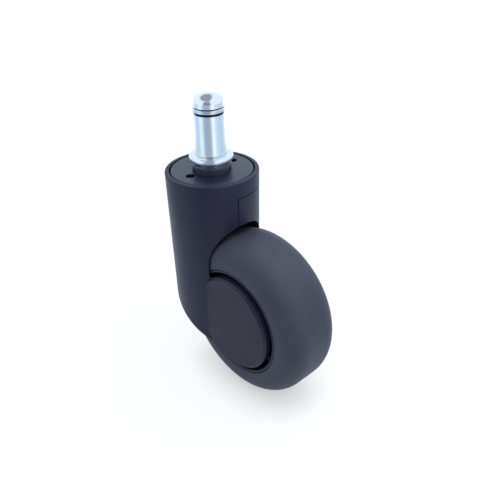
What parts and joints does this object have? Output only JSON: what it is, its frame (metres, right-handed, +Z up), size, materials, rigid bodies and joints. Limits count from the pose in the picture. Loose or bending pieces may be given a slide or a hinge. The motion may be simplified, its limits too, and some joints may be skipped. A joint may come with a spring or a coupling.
{
  "type": "office chair castor",
  "caption": "Swivelling office chair castor with a grip-ring stem, a round hooded housing with side discs and a wide wheel with a soft rounded tyre.",
  "frame": {"origin": "on the stem's axis, in the plane of the collar's top face, where the stem enters the chair's base", "axes": "+Z up along the stem, +X the way the wheel trails, the wheel's axle along Y with the cheek and the axle's plug on the +Y side"},
  "size_m": [0.073, 0.0352, 0.1127],
  "materials": {
    "zinc_steel": "bright zinc plate",
    "spring_steel": "plain spring steel",
    "housing_plastic": "satin moulded dark slate",
    "core_plastic": "satin moulded slate",
    "tyre_rubber": "soft satin blue-grey",
    "bush_plastic": "plain acetal"
  },
  "bodies": {
    "stem": {"stem": "zinc_steel", "snap_ring": "spring_steel", "stem_clip": "spring_steel", "thrust_washer": "zinc_steel"},
    "housing": {"housing": "housing_plastic", "cheek": "housing_plastic", "cheek_screws": "zinc_steel", "top_cap": "housing_plastic", "upper_bush": "bush_plastic", "lower_bush": "bush_plastic", "axle": "zinc_steel", "axle_screw": "zinc_steel", "axle_plug": "housing_plastic", "hub_washers": "zinc_steel"},
    "wheel": {"wheel_core": "core_plastic", "tyre": "tyre_rubber", "hub_bush_near": "bush_plastic", "hub_bush_far": "bush_plastic"}
  },
  "joints": [
    {"name": "swivel", "type": "hinge", "parent": "stem", "child": "housing", "pos_m": [0, 0, 0], "axis": [0, 0, 1], "continuous": true},
    {"name": "wheel_spin", "type": "hinge", "parent": "housing", "child": "wheel", "pos_m": [0.0234, 0, -0.0585], "axis": [0, 1, 0], "continuous": true}
  ]
}
